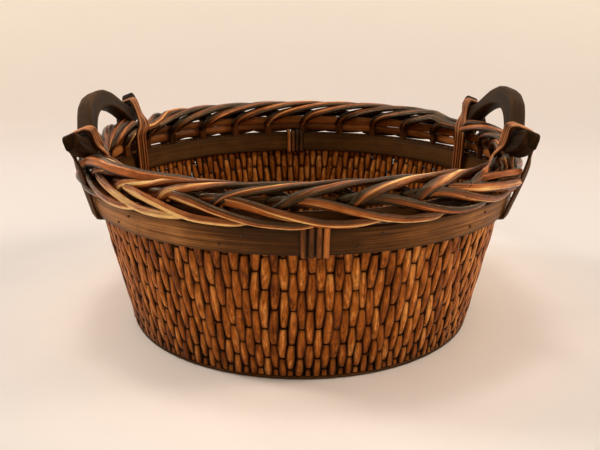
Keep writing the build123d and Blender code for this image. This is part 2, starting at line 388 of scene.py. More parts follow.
HANDLE_WOOD = fibre_material(
    "handle_wood", [(18, 8, 2), (37, 21, 8), (60, 38, 18), (98, 68, 38)], (10, 4, 1), gloss=(0.4, 0.62),
    fibre_depth=0.8, fibre_scale=(0.02, 0.6), specular=0.06, weights=(0.6, 0.7, 0.8), dirt=(0.4, 0.35))


def iron_material():
    """Small dull iron pin heads with rust blooms."""
    shader = Shader("pin_iron")
    place = shader.node("ShaderNodeTexCoord").outputs["Object"]
    rust = shader.noise(place, 900.0, 5.0)
    colour = shader.ramp(rust, [(0.35, (58, 52, 48)), (0.7, (96, 60, 40))])
    return shader.finish({"Base Color": colour, "Roughness": shader.span(rust, 0.35, 0.7),
                          "Normal": shader.bump(rust, 0.15 * MM), "Metallic": 0.8})


# ---- woven wall: packed upright strands that bulge between the cords they pass behind ----
COLUMN_COUNT = 164
COLUMN_PITCH = TURN / COLUMN_COUNT
STRAND_TOP = 139.0
PINCH_DEPTH = 2.5
NEAR_PINCH = (-3.4, -1.5, -0.5, 0.0, 0.5, 1.5, 3.4)  # heights of a strand's rings from each cord
RING_STEP = 5.0  # height between the rings elsewhere
OUTER_BULGE = (2.6, 0.34)  # powers that shape a strand's swelling on its outer side
INNER_BULGE = (3.2, 0.5)
GRAIN_LIMIT = 12  # more than any strand has
# How much strands differ in their pinches' height and their face's radius, and grains in swelling and width
PINCH_SCATTER = 0.35
FACE_SCATTER = 0.2
BULGE_SCATTER = 0.45
WIDTH_SCATTER = 0.05
GRAIN_WIDE = 1.17  # widths as shares of the column pitch
GRAIN_NARROW = 0.72
GRAIN_CORE = 0.2  # how much wider a strand is in the middle of the wall's thickness
GRAIN_END_FROM = 0.84  # place in the grain where its end starts to round off
GRAIN_END_CUT = 0.3
GRAIN_SIDES = 1.25  # 1 gives a grain straight sides that meet in a point, more makes it rounder
GRAIN_JUMP = 200.0  # how far along its pattern the colour jumps from one grain to the next
STRAND_TONE = 0.55  # how much of a grain's tone its whole strand shares, and how much is its own
OWN_TONE = 0.45
# Painted light: how much paler the strands are, by angle in degrees, most on the right front
WALL_LIGHT_ANGLES = (-180, -150, -110, -75, -55, -35, -15, 30, 180)
WALL_PAINTED_LIGHT = (0.0, 0.02, 0.04, 0.0, 0.08, 0.28, 0.15, 0.0, 0.0)
DARK_GRAINS = 0.07  # share of grains that are much darker, and the share of tone left to them
DARK_GRAIN_TONE = 0.3
WALL_CREST = 0.5  # painted highlight: how much paler a strand's outer and inner sides are than its flanks
FLANK_SHADE = 2.0  # painted shade between strands, and on the inner side
INSIDE_SHADE = 0.25
WALL_FOOT_SHADE = 0.5  # painted shade at the wall's foot, and the height in which it fades
WALL_FOOT_SHADE_REACH = 22.0
FACE_SHARPNESS = 4.0  # how suddenly the inner outline becomes the outer one
# Slow waves of the weave: waves per turn, waves over the height, and size in column pitches or millimetres
LEAN_WAVES = ((5, 0.5, 0.16), (11, 0.8, 0.10), (23, 1.3, 0.07), (37, 1.9, 0.05))
LEVEL_WAVES = ((3, 0.4, 0.5), (9, 1.1, 0.35), (21, 1.6, 0.25), (45, 2.3, 0.2))
LEVEL_HOLD = 8.0  # how far from the wall's foot and top the rows come level
LEAN_PHASES = rng.uniform(0, TURN, len(LEAN_WAVES))
LEVEL_PHASES = rng.uniform(0, TURN, len(LEVEL_WAVES))
# Heights at which the strands of even and odd columns pass behind a cord
PINCHES = (np.array([-12.0, 10.0, 34.0, 66.0, 100.0, 134.0, 168.0]),
           np.array([-4.0, 20.5, 49.0, 84.0, 114.0, 146.0]))


def wall_face(height):
    """Outer radius of the wall."""
    return WALL_BOTTOM_RADIUS + WALL_SLOPE * (height - WALL_BOTTOM)


def weave_waves(column, height, waves, phases):
    """Sum of the waves at this column, which may be a fraction, and height."""
    turn, climb = TURN * column / COLUMN_COUNT, TURN * height / BAND_TOP
    return sum(size * np.sin(round_ring * turn + upward * climb + phase)
               for (round_ring, upward, size), phase in zip(waves, phases))


def weave_level(column, height):
    """Height of a point of the weave once it sags and rises round the wall; its foot and top stay level."""
    hold = rise(np.minimum(height - WALL_BOTTOM, STRAND_TOP - height), 0, LEVEL_HOLD)
    return height + hold * weave_waves(column, height, LEVEL_WAVES, LEVEL_PHASES)


def grain_half(place):
    """Half width of a strand's outline at this place in its grain, as a share of the column pitch."""
    belly = GRAIN_NARROW + (GRAIN_WIDE - GRAIN_NARROW) * (1 - np.abs(place) ** GRAIN_SIDES)
    rounding = rise(np.abs(place), GRAIN_END_FROM, 1 - GRAIN_END_FROM)
    return belly * (1 - GRAIN_END_CUT * rounding**2) / 2


def grain_place(height, pinches):
    """The grain's number at this height and the place in it, from -1 at its lower pinch to 1 at its top."""
    index = np.clip(np.searchsorted(pinches, height, side="right"), 1, len(pinches) - 1)
    low, high = pinches[index - 1], pinches[index]
    return index, 2 * (height - low) / (high - low) - 1


def swelling(place, powers):
    """How far a grain swells at this place: 1 at its middle and 0 at its pinches."""
    return (1 - np.abs(place) ** powers[0]) ** powers[1]


def build_wall():
    bundle = Bundle()
    heights = [weft + np.array(NEAR_PINCH) for weft in WEFT_HEIGHTS]
    heights.append(np.arange(WALL_BOTTOM + 1, STRAND_TOP, RING_STEP))
    heights = np.unique(np.concatenate([*heights, [WALL_BOTTOM, STRAND_TOP]]))
    heights = heights[heights >= WALL_BOTTOM]
    section = rounded_section(20, 2.1)
    mix = (section[:, 1] + 1) / 2
    outer_share = (1 + np.tanh(FACE_SHARPNESS * section[:, 1])) / 2
    for column in range(COLUMN_COUNT):
        shifted = heights + rng.normal(0, PINCH_SCATTER)
        outer_index, outer_place = grain_place(shifted, PINCHES[column % 2])
        _, inner_place = grain_place(shifted, PINCHES[(column + 1) % 2])
        bulge = PINCH_DEPTH + rng.normal(0, BULGE_SCATTER, GRAIN_LIMIT)[outer_index]
        face = wall_face(heights) + rng.normal(0, FACE_SCATTER)
        outer = face - PINCH_DEPTH + bulge * swelling(outer_place, OUTER_BULGE)
        inner = face - WALL_THICKNESS + PINCH_DEPTH * (1 - swelling(inner_place, INNER_BULGE))
        pitch = face * COLUMN_PITCH
        fatness = rng.normal(1, WIDTH_SCATTER, GRAIN_LIMIT)[outer_index]
        outer_half = pitch * fatness * grain_half(outer_place)
        inner_half = pitch * grain_half(inner_place)
        radius = inner[:, None] + (outer - inner)[:, None] * mix
        half = inner_half[:, None] + (outer_half - inner_half)[:, None] * outer_share
        half = half + GRAIN_CORE * pitch[:, None] / 2 * (1 - (2 * mix - 1) ** 2)
        lean = weave_waves(column, heights, LEAN_WAVES, LEAN_PHASES) + drift(heights / BAND_TOP, 0.02, 3)
        angle = (column + lean)[:, None] * COLUMN_PITCH + half * section[:, 0] / radius
        levels = weave_level(column, heights)
        points = ring_point(angle, radius, levels[:, None])
        along = heights + rng.uniform(0, GRAIN_APART) + GRAIN_JUMP * outer_index
        fibre = rows_of(along[:, None], half * section[:, 0] + rng.uniform(0, GRAIN_ASIDE), radius)
        tones = rng.random() * STRAND_TONE + rng.random(GRAIN_LIMIT) * OWN_TONE
        tones = np.where(rng.random(GRAIN_LIMIT) < DARK_GRAINS, tones * DARK_GRAIN_TONE, tones)
        degrees = (column * 360 / COLUMN_COUNT + 180) % 360 - 180
        # Painted light, strongest on the wall's right front
        tones = tones + np.interp(degrees, WALL_LIGHT_ANGLES, WALL_PAINTED_LIGHT)
        # Painted shade between the strands, on the wall's inner side, towards each grain's pinched ends and
        # at the wall's foot
        edge = np.minimum(FLANK_SHADE * np.abs(section[:, 0]) ** 4 + INSIDE_SHADE * (1 - outer_share), 1)
        outer_tip = 0.35 * np.abs(outer_place) ** 4 + 0.45 * np.abs(outer_place) ** 14
        inner_tip = 0.9 * np.abs(inner_place) ** 6
        tip = inner_tip[:, None] + (outer_tip - inner_tip)[:, None] * mix
        foot_shade = WALL_FOOT_SHADE * np.exp(-(heights - WALL_BOTTOM) / WALL_FOOT_SHADE_REACH)
        shade = np.maximum(edge[None, :], tip) + foot_shade[:, None]
        # Painted highlight on each strand's outer and inner sides, with darker flanks
        tone = tones[outer_index][:, None] + WALL_CREST * (section[:, 1] ** 2 - 0.5)
        bundle.add_rings(points, fibre, tone, np.minimum(shade, 1))
    bundle.publish("wall_strands", WALL_STRAND, "woven_strand", "wall_weave")


WEFT_POINTS = 6  # for each strand that a cord passes
WEFT_SWING = 1.5  # how far a cord goes in and out between the strands


def build_wefts():
    section = rounded_section(8)
    for row, height in enumerate(WEFT_HEIGHTS):
        step = np.arange(COLUMN_COUNT * WEFT_POINTS + 1) / WEFT_POINTS
        swing = np.cos(np.pi * (step + row % 2))
        swing = np.sign(swing) * np.abs(swing) ** 0.4
        radius = wall_face(height) - WALL_THICKNESS / 2 + WEFT_SWING * swing
        level = weave_level(step, np.full_like(step, height))
        angle = step * COLUMN_PITCH
        bundle = Bundle()
        bundle.add(ring_point(angle, radius, level), ring_point(angle, 1.0, 0.0), half_width=0.6,
                   half_depth=0.75, section=section)
        bundle.publish(f"weft_yarn_{row + 1}", WEFT, "weft_cord", f"weft_cord_{row + 1}")


# ---- base: two sets of flat splints woven over and under each other ----
SPLINT_PITCH = 12.0
SPLINT_COUNT = 27
SPLINT_SWING = 1.7  # how far a splint goes up and down over the others
SPLINT_POINTS = 5  # for each splint that it crosses
BASE_RADIUS = 159.4
BASE_MIDDLE = 7.2


def build_base():
    bundle = Bundle()
    section = rounded_section(8, 4.0)
    for direction in (0, 1):
        for index in range(SPLINT_COUNT):
            offset = (index - (SPLINT_COUNT - 1) / 2) * SPLINT_PITCH
            if abs(offset) > BASE_RADIUS - SPLINT_PITCH / 2:
                continue
            half_length = np.sqrt(BASE_RADIUS**2 - offset**2)
            count = int(half_length * 2 / SPLINT_PITCH * SPLINT_POINTS)
            run = np.linspace(-half_length, half_length, count)
            sign = (-1) ** (index + direction)
            phase = np.pi * (run / SPLINT_PITCH + (SPLINT_COUNT - 1) / 2)
            height = BASE_MIDDLE + sign * SPLINT_SWING * np.cos(phase)
            side = offset + drift(run / half_length / 2 + 0.5, 0.3)
            centres = np.stack([run, side, height] if direction == 0 else [side, run, height], axis=1)
            # Painted shade along the splints' long edges, where they meet
            bundle.add(centres, np.array([0.0, 0.0, 1.0]), half_width=5.4, half_depth=0.95,
                       section=section, shade_edge=0.5)
    bundle.publish("base_splints", BASE_SPLINT, "base_splint", "base_mat")


# ---- hoops: the foot and the two bands ----
def board_section(half_width, half_depth, corner):
    """Outline from -1 to 1 of a board with rounded corners and points spread over its two broad faces."""
    points = []
    for sign_x, sign_y, start in ((1, -1, -90), (1, 1, 0), (-1, 1, 90), (-1, -1, 180)):
        for step in (0, 30, 60, 90):
            turn = np.radians(start + step)
            points.append((sign_x * (half_width - corner) + corner * np.cos(turn),
                           sign_y * (half_depth - corner) + corner * np.sin(turn)))
        if start in (0, 180):
            for place in (0.6, 0.2, -0.2, -0.6):
                points.append((sign_x * half_width * place, sign_y * half_depth))
    return np.array(points) / (half_width, half_depth)


# How pale the outer band is by angle in degrees, from 0 dark to 1 pale: partly stains from handling, partly
# painted light on its sides and painted shade at its front
BAND_LIGHT_ANGLES = (-180, -150, -135, -118, -106, -92, -78, -62, -45, -20, 30, 90, 140, 180)
BAND_STAIN_AND_LIGHT = (0.5, 0.8, 1.0, 0.9, 0.3, 0.05, 0.25, 0.62, 0.75, 0.5, 0.35, 0.6, 0.4, 0.5)
HOOP_POINTS = 540


def hoop(seam, radius, height, halves, section, tilt, wander, stain_and_light=None):
    """A hoop of this half width and half depth, leaning outwards, whose ends meet at the seam's angle."""
    place = np.linspace(0, 1, HOOP_POINTS)
    angle = seam + TURN * place
    outward = ring_point(angle, np.cos(tilt), -np.sin(tilt))
    centres = ring_point(angle, radius + drift(place, wander, 9), height + drift(place, wander * 0.7, 7))
    widths = halves[0] + drift(place, wander * 0.6, 11)
    # Paler or darker by angle: stains, with painted light and painted shade
    tone = np.interp(degrees_of(outward), BAND_LIGHT_ANGLES, stain_and_light)[:, None] if stain_and_light else 0.0
    bundle = Bundle()
    # Painted shade along the hoops' edges, as under the plait at the outer band's top
    bundle.add(centres, outward, widths, halves[1], section, tone=tone, shade_edge=0.8)
    return bundle


def build_hoops():
    tilt = np.arctan(BAND_SLOPE)
    middle = BAND_BOTTOM + BAND_HEIGHT / 2
    halves = (BAND_HEIGHT / 2 / np.cos(tilt), 1.95)
    outer = hoop(WRAP_FRONT, 194.0 + BAND_SLOPE * (middle - BAND_BOTTOM), middle, halves,
                 board_section(*halves, corner=0.8), tilt, wander=0.22, stain_and_light=BAND_STAIN_AND_LIGHT)
    outer.publish("outer_band_hoop", OUTER_BAND, "outer_band_wood", "outer_band")
    middle, halves = middle + 1, (10.2, 1.25)
    inner = hoop(WRAP_REAR, 182.5 + BAND_SLOPE * (middle - BAND_BOTTOM), middle, halves,
                 board_section(*halves, corner=0.6), tilt, wander=0.2)
    inner.publish("inner_band_hoop", INNER_BAND, "inner_band_wood", "inner_band")
    foot = hoop(WRAP_REAR, 161.3, 2.05, (1.9, 4.1), rounded_section(14, 3.0), tilt=0.0, wander=0.02)
    foot.publish("foot_hoop_rod", OUTER_BAND, "outer_band_wood", "foot_hoop")


# ---- reed wraps over the bands' overlapping ends ----
WRAP_PITCH = 5.4  # distance between a wrap's reeds, at this radius
WRAP_RADIUS = 196.0
WRAP_HEART = 130.0  # height of the middle that a reed bends round
WRAP_TONES = (0.35, 0.2, 0.5, 1.0)
WRAP_DARKER = {"front": 0.0, "rear": 0.3}  # taken off those tones
# A reed's runs outside and inside the wall: the radius of that middle, and the run's radii and heights
WRAP_RUNS = (
    (190.5, [(190.5, 117.5), (193.5, 116.6), (197.3, 117.6), (198.6, 122), (200.5, 131), (202.1, 138.5),
             (201.6, 141.2), (198.6, 142), (194, 141), (190, 139)]),
    (188.5, [(187, 138), (187.4, 141.2), (185.2, 141.8), (183.8, 139.5), (182.2, 131), (180.5, 122.5),
             (180.2, 119.5), (182, 118.2), (185.5, 119), (188, 121)]),
)


def build_wraps():
    section = rounded_section(12, 2.2)
    for place, angle in (("front", WRAP_FRONT), ("rear", WRAP_REAR)):
        bundle = Bundle()
        for strand in range(4):
            turn = angle + (strand - 1.5) * WRAP_PITCH / WRAP_RADIUS
            tone = WRAP_TONES[strand] - WRAP_DARKER[place]
            for heart_radius, route in WRAP_RUNS:
                radius, height = smooth_path(route, 6).T
                lean = drift(np.linspace(0, 1, len(radius)), 0.0012, 2)
                centres = ring_point(turn + lean, radius, height)
                heart = ring_point(turn, heart_radius, WRAP_HEART)
                # Painted shade along each reed's edges and a painted highlight on its crest
                bundle.add(centres, centres - heart, half_width=2.5 * rng.normal(1, 0.05), half_depth=1.25,
                           section=section, tone=tone, shade_edge=1.0, crest=0.5)
        bundle.publish(f"band_wrap_reeds_{place}", WRAP_REED, "wrap_reed", f"band_wrap_{place}")


# ---- gallery: upright stakes with two rods laid against their outer side ----
# The stakes stand wider apart at the front, and a little at the rear, than under the handles
FRONT_SPREAD = 0.05
SIDE_CROWDING = 0.03
STAKE_OFFSET = -0.10
STAKE_JITTER = rng.normal(0, 0.035, STAKE_COUNT)
STAKE_TONE = rng.random(STAKE_COUNT)
STAKE_WIDTH = rng.normal(4.0, 0.3, STAKE_COUNT)
STAKE_FOOT = 122.0
STAKE_BEND = 150.0  # height where a stake becomes a rod of the border
STAKE_POINTS = 12
WEAVER_HEIGHTS = {"lower": 147.2, "upper": 156.4}
WEAVER_RADIUS = 192.7
WEAVER_POINTS = 12  # from one stake to the next
WEAVER_HALF_WIDTH = 4.2


def ring_angle(place):
    """Angle of a place counted in stakes round the ring."""
    even = (place + STAKE_OFFSET) * STAKE_PITCH
    return even + FRONT_SPREAD * np.cos(even) - SIDE_CROWDING * np.sin(2 * even)


def build_gallery():
    stakes = Bundle()
    section = rounded_section(12, ROD_SQUARENESS)
    for stake in range(STAKE_COUNT):
        height = np.linspace(STAKE_FOOT, STAKE_BEND + 1.5, STAKE_POINTS)
        angle = np.full(STAKE_POINTS, ring_angle(stake + STAKE_JITTER[stake]))
        centres = ring_point(angle, STAKE_CIRCLE - 0.6, height)
        stakes.add(centres, ring_point(angle, 1.0, 0.0), STAKE_WIDTH[stake], half_depth=2.4,
                   section=section, tone=0.3 * STAKE_TONE[stake])
    stakes.publish("gallery_stakes", GALLERY_ROD, "gallery_rod", "stakes")
    for level, height in WEAVER_HEIGHTS.items():
        rods = Bundle()
        place = np.linspace(0, 1, STAKE_COUNT * WEAVER_POINTS + 1)
        angle = ring_angle(place * STAKE_COUNT)
        radius = WEAVER_RADIUS - 0.5 * (1 - np.cos(TURN * STAKE_COUNT * place)) + drift(place, 0.2, 9)
        centres = ring_point(angle, radius, height + drift(place, 0.45, 24))
        half = WEAVER_HALF_WIDTH + drift(place, 0.25, 24)
        tones = 0.3 + 0.7 * rng.random(STAKE_COUNT + 1)[(place * STAKE_COUNT).astype(int)]
        # Painted shade on the rods' outer side, in the dark gap under the plait
        rods.add(centres, ring_point(angle, 1.0, 0.0), half, half_depth=2.3, section=section,
                 tone=tones[:, None], outer_shade=0.8)
        rods.publish(f"gallery_weaver_{level}", GALLERY_ROD, "gallery_rod", f"fitching_rod_{level}")


# ---- plaited border ----
# Each layer's rods, by place round the ring in stake pitches, distance from the axis and height
ROUTES = {
    "inner": [(-0.25, 194.5, 151.0), (-0.08, 198.4, 156.0), (0.02, 200.2, 161.0), (0.12, 200.6, 165.4),
              (0.30, 199.2, 169.0), (0.55, 196.0, 171.8), (0.95, 191.0, 173.6), (1.40, 187.0, 173.4),
              (1.85, 184.0, 172.0), (2.30, 182.6, 169.2), (2.66, 182.2, 165.6), (2.90, 183.0, 161.6),
              (3.05, 185.0, 157.5), (3.12, 187.2, 153.0), (3.12, 188.0, 149.0)],
    "outer": [(-0.32, 194.5, 160.0), (-0.10, 196.5, 161.8), (0.15, 199.0, 162.8), (0.40, 201.4, 161.4),
              (0.66, 202.6, 157.8), (1.10, 203.6, 150.0), (1.60, 203.8, 144.6), (2.00, 203.4, 143.2),
              (2.30, 201.8, 143.4), (2.50, 199.4, 145.0)],
}
ROUTE_END = ROUTES["inner"][-1][0]  # place of the stake that an inner rod grows from
# Painted shade on a rod where it comes up from under the others, its lower tone there, also painted shade,
# and where these end
START_SHADE = {"inner": 0.6, "outer": 0.65}
START_TONE_DROP = 0.6
START_SHADE_TO = {"inner": 0.8, "outer": 1.1}
ROD_SHADE_FROM = 2.5  # place where painted shade starts on a rod, growing towards its stake
ROD_END_SHADE = 0.6
# The border is tilted, higher at the rear, and the tilt fades out between two places along a rod
BORDER_TILT_FRONT = 3.5
BORDER_TILT_REAR = 2.4
TILT_PLACES = (1.4, 2.6)
TILT_RISE = 24.0  # height in which the tilt comes in, and the sag
SAG_RISE = 20.0
# How much lower the front of the border sags, by angle in degrees
SAG_ANGLES = (-160, -150, -138, -128, -120, -110, -95, -80, -65, -50, -40, -30, -20, -10)
SAGS = (0, 4, 6.5, 7.5, 5, 3.8, 3.2, 1, 1.4, 3.7, 8, 8, 4, 0)
BORDER_HEART = (191.5, 160.0)
# How pale the border is by angle in degrees, partly handling wear and partly painted highlight, most at the
# front left, and how much single rods differ
WEAR_AND_HIGHLIGHT_ANGLES = (-180, -160, -146, -136, -118, -103, -75, -50, -30, -5, 30, 80, 110, 150, 180)
WEAR_AND_HIGHLIGHT_TONES = (0.0, 0.15, 0.42, 0.95, 0.92, 0.42, 0.3, 0.44, 0.36, 0.04, -0.12, 0.0, 0.1, -0.04, 0.0)
BORDER_TONE_SPREAD = 0.5
REAR_WEAR = {"inner": 0.0, "outer": 0.35}  # added to that at the rear
# Painted highlight on the rods' crests, partly handling wear, narrower as its power grows
BORDER_CREST = 0.9
BORDER_CREST_POWER = 4
REAR_THICKENING = 0.16
ROD_TAPER = 0.06  # share of a rod's length that narrows, at each end
BORDER_HALF_DEPTHS = {"inner": 2.6, "outer": 2.7}
# Highest the border may reach under a handle's foot, by distance along Y
SEAT_ACROSS = (56, 66, 72, 92, 104, 114, 124)
SEAT_CEILING = (182, 172, 167.5, 168.2, 171.5, 176.5, 184)
SEAT_MIN_X = 130.0
SEAT_NONE = 200.0  # higher than the border comes
SEAT_SOFTNESS = 0.8


def pressed(centres, half_depth):
    """Rod centres pushed down under the handles' feet."""
    across = np.abs(centres[:, 1])
    ceiling = np.interp(across, SEAT_ACROSS, SEAT_CEILING, left=SEAT_NONE, right=SEAT_NONE) - half_depth
    ceiling = np.where(np.abs(centres[:, 0]) > SEAT_MIN_X, ceiling, SEAT_NONE)
    out = centres.copy()
    out[:, 2] = ceiling - np.logaddexp(0, (ceiling - out[:, 2]) / SEAT_SOFTNESS) * SEAT_SOFTNESS
    return out


def add_border_rod(bundle, layer, start, section, half_width, tone):
    """One rod of a layer of the plait, whose route begins at this place round the ring."""
    half_depth = BORDER_HALF_DEPTHS[layer]
    place, radius, height = smooth_path(ROUTES[layer], 12).T
    count = len(place)
    share = np.linspace(0, 1, count)
    fade = np.sin(np.pi * np.minimum(share, 1 - share) * 3).clip(0, 1)
    radius = radius + fade * drift(share, 0.4, 3)
    height = height + fade * drift(share, 0.4, 3)
    angle = ring_angle(start + place)
    tilt = np.where(np.sin(angle) > 0, BORDER_TILT_REAR, BORDER_TILT_FRONT) * np.sin(angle)
    fading = np.clip((TILT_PLACES[1] - place) / (TILT_PLACES[1] - TILT_PLACES[0]), 0, 1)
    sag = np.interp(degrees_of(ring_point(angle, 1.0, 0.0)), SAG_ANGLES, SAGS)
    height = height + tilt * fading * rise(height, STAKE_BEND, TILT_RISE)
    height = height - sag * rise(height, STAKE_BEND, SAG_RISE)
    centres = pressed(ring_point(angle, radius, height), half_depth)
    outward = ring_point(angle, radius - BORDER_HEART[0], centres[:, 2] - BORDER_HEART[1])
    width = half_width * end_taper(count, ROD_TAPER, 0.55) * (1 + drift(share, 0.03, 4))
    width = width * (1 + REAR_THICKENING * np.clip(np.sin(angle), 0, 1))
    depth = half_depth * end_taper(count, ROD_TAPER, 0.6)
    # Painted shade where the rod comes up from under the others and where it goes down to its stake
    fade_to = START_SHADE_TO[layer]
    starting = np.clip((fade_to - place) / (fade_to - place[0]), 0, 1)
    soot = ROD_END_SHADE * rise(place, ROD_SHADE_FROM, ROUTE_END - ROD_SHADE_FROM)
    soot = soot + START_SHADE[layer] * starting
    # Paler by angle: partly handling wear, partly painted highlight
    wear_and_highlight = np.interp(degrees_of(centres), WEAR_AND_HIGHLIGHT_ANGLES, WEAR_AND_HIGHLIGHT_TONES)
    wear_and_highlight = wear_and_highlight + REAR_WEAR[layer] * np.clip(np.sin(angle), 0, 1)
    tone = (BORDER_TONE_SPREAD * tone + wear_and_highlight - START_TONE_DROP * starting)[:, None]
    # Painted highlight on its crest and painted shade along its edges
    bundle.add(centres, outward, width, depth, section, tone=tone, soot=soot, crest=BORDER_CREST,
               shade_edge=0.5, crest_power=BORDER_CREST_POWER)


# Rods that stop short at the right handle, by half width: their angles in degrees, radii and heights
CUT_ENDS = {
    3.4: [(-46, 196, 161.5), (-37.4, 201, 161), (-32.5, 204.6, 159.6), (-26.5, 207.5, 157)],
    4.2: [(-56, 196.5, 160.5), (-48, 203.4, 157.4), (-39.7, 206.4, 154.2), (-28.5, 208.8, 149.5)],
    4.0: [(-28.8, 198.5, 150), (-28.8, 200, 158), (-29, 200, 165), (-28.8, 199.5, 170.5)],
}
# The same for a thick rod that loops up from behind the left handle's front foot
LEFT_LOOP = [
    (-165, 204.5, 140.5), (-158, 206, 152), (-152.7, 204, 163.5), (-147, 203.5, 170),
    (-141, 203, 171.8), (-136.4, 201, 170), (-131.5, 198, 168.8), (-128, 194.5, 167.2),
    (-123.3, 190.5, 166.5), (-114, 187, 166),
]


def add_loose_rod(bundle, rows, half_width, points, thickness, tip, tone, up=0.0, shade_edge=0.0):
    """A rod along rows like these. Its thickness and its tips' width are shares of its width."""
    degrees, radius, height = np.transpose(rows)
    path = smooth_path(ring_point(np.radians(degrees), radius, height), points)
    width = half_width * end_taper(len(path), 0.08, tip)
    # Painted highlight on its crest, as on the border, and painted shade along its edges
    bundle.add(path, path * (1, 1, 0) + (0, 0, up), width, thickness * width, ridged_section(), tone=tone,
               crest=BORDER_CREST, shade_edge=shade_edge)


def build_border():
    inner, outer = Bundle(), Bundle()
    for rod in range(STAKE_COUNT):
        start = rod + STAKE_JITTER[rod] - ROUTE_END
        add_border_rod(inner, "inner", start, ridged_section(), STAKE_WIDTH[rod], STAKE_TONE[rod])
        start = rod - ROUTE_END + rng.normal(0, 0.05)
        add_border_rod(outer, "outer", start, ridged_section(), rng.normal(4.4, 0.3), rng.random())
    for half_width, rows in CUT_ENDS.items():
        add_loose_rod(outer, rows, half_width, points=8, thickness=0.65, tip=0.7, tone=0.4)
    add_loose_rod(outer, LEFT_LOOP, half_width=4.8, points=10, thickness=0.7, tip=0.6, tone=0.25, up=60.0,
                  shade_edge=0.5)
    inner.publish("border_plait_inner", BORDER_ROD, "border_rod", "border_rods_inner")
    outer.publish("border_plait_outer", BORDER_ROD, "border_rod", "border_rods_outer")


# ---- lashings over the handles' feet ----
HANDLE_TOE = 0.014  # turn of both handles: outwards for each millimetre towards the rear
# How far each handle's top edge differs from its table, by distance along Y
LIFT_ACROSS = (-118, -109, -97, -84, -70, 70, 84, 97, 109, 118)
LIFTS = {"left": (0, 0, 0, 0, 0, 0, 0, 1.5, 4, 4),
         "right": (-1, 0, 3, 3, 1, 0, 0, 0, -2, -2)}
LASH_PLACE = 90.0  # distance along Y of a lashing's middle
LASH_SPLAY = 66.0  # the same where its inner legs end
OVER_PITCH = 4.7  # distance between its reeds over the foot
INNER_PITCH = 4.1  # along their inner legs
SPREAD_PITCH = 7.0  # half way down their outer legs
OUTER_PITCH = 4.4  # and where these end
LEG_RADIUS = {"left": 208.0, "right": 211.5}  # how far out the outer legs stand half way down
FOOT_ABOVE = 11.0  # height above HANDLE_LEVEL where the reeds cross the foot's inner face
# Radius where the inner legs pass the border, and how far inside the foot's face they stand above it
KNEE_AND_HIP = (184.5, 6.0)
LEFT_REAR_KNEE_AND_HIP = (180.5, 9.0)  # clear of the border on its inner side
REED_TURN = {"front": 8.0, "rear": 3.0}  # how far the reeds are turned to overlap like shingles
# The front reeds are paler than the rear ones: painted light on their inner legs, which lie in shade
REED_TONES = {"front": (0.9, 0.6, 0.95, 0.7), "rear": (0.45, 0.2, 0.5, 0.3)}
REED_HALF_WIDTH = 2.15
REED_HALF_DEPTH = 1.75
OUTER_LEG_HALF = 1.35  # both ways, from this share of a reed's length on
OUTER_LEG_FROM = 0.68
# Painted shade on the outer legs, which are in shadow
OUTER_LEG_SHADE = 0.85


def ring_x(radius, across):
    """Distance from the Y axis of the point at this radius and this distance along Y."""
    return np.sqrt(radius**2 - across**2)


def reed_path(strand, side_name, knee, hip_in, foot_in, lift):
    """A reed from inside the band, up over the handle's foot and down outside to the band's lower edge.

    Its points are a distance along Y, a distance outwards and a height.
    """
    order = strand - 1.5
    over = LASH_PLACE + order * OVER_PITCH
    under = LASH_SPLAY + order * INNER_PITCH
    spread = LASH_PLACE + order * SPREAD_PITCH
    outer = LASH_PLACE + order * OUTER_PITCH
    return smooth_path([
        (under, ring_x(187.0, under), 121.0), (under, ring_x(182.0, under), 118.6),
        (under, ring_x(179.3, under), 121.5), (under, ring_x(180.0, under), 148.0),
        (under, ring_x(180.0, under), 160.0), (under + 7, ring_x(knee, under + 7), 169.0),
        ((under + 2 * over) / 3, foot_in - hip_in, 178.5), (over - 3, foot_in - 3.6, 189.6 + lift),
        (over, foot_in - 0.4, 192.4 + lift), (over, foot_in + 4.2, 191.2 + lift),
        (over, foot_in + 12.8, 187.4 + lift), (over, foot_in + 15.6, 184.0), (over, foot_in + 14.8, 178.0),
        (spread, ring_x(LEG_RADIUS[side_name], spread), 158.0), (outer, ring_x(199.4, outer), 121.5),
        (outer, ring_x(197.4, outer), 117.2), (outer, ring_x(193.0, outer), 117.0),
    ], 7)


def build_lashings():
    section = rounded_section(12, ROD_SQUARENESS)
    for side_name, side in SIDES.items():
        for end_name, end in (("front", -1), ("rear", 1)):
            place = f"{side_name}_{end_name}"
            knee, hip_in = LEFT_REAR_KNEE_AND_HIP if place == "left_rear" else KNEE_AND_HIP
            bundle = Bundle()
            foot_in = HANDLE_INNER_FACE + HANDLE_RUN * FOOT_ABOVE + HANDLE_TOE * end * LASH_PLACE
            lift = np.interp(end * LASH_PLACE, LIFT_ACROSS, LIFTS[side_name])
            for strand in range(4):
                across, outwards, height = reed_path(strand, side_name, knee, hip_in, foot_in, lift).T
                share = np.linspace(0, 1, len(across))
                centres = rows_of(side * outwards, end * (across + drift(share, 0.3, 3)), height)
                heart = rows_of(side * foot_in, end * across + REED_TURN[end_name], BORDER_HEART[1])
                outer_leg = share > OUTER_LEG_FROM
                half_width = np.where(outer_leg, OUTER_LEG_HALF, REED_HALF_WIDTH) * rng.normal(1, 0.05)
                half_depth = np.where(outer_leg, OUTER_LEG_HALF, REED_HALF_DEPTH)
                # Painted shade on the outer leg and along each reed's edges, and a painted highlight on its
                # crest
                soot = OUTER_LEG_SHADE * rise(share, start=0.64, run=0.08)
                # Paler at the front: painted light
                tone = 0.3 * rng.random() + REED_TONES[end_name][strand]
                bundle.add(centres, centres - heart, half_width, half_depth, section, tone=tone,
                           shade_edge=1.0, soot=soot, crest=0.5)
            bundle.publish(f"lashing_reeds_{place}", LASHING, "lashing_reed", f"lashing_{place}")


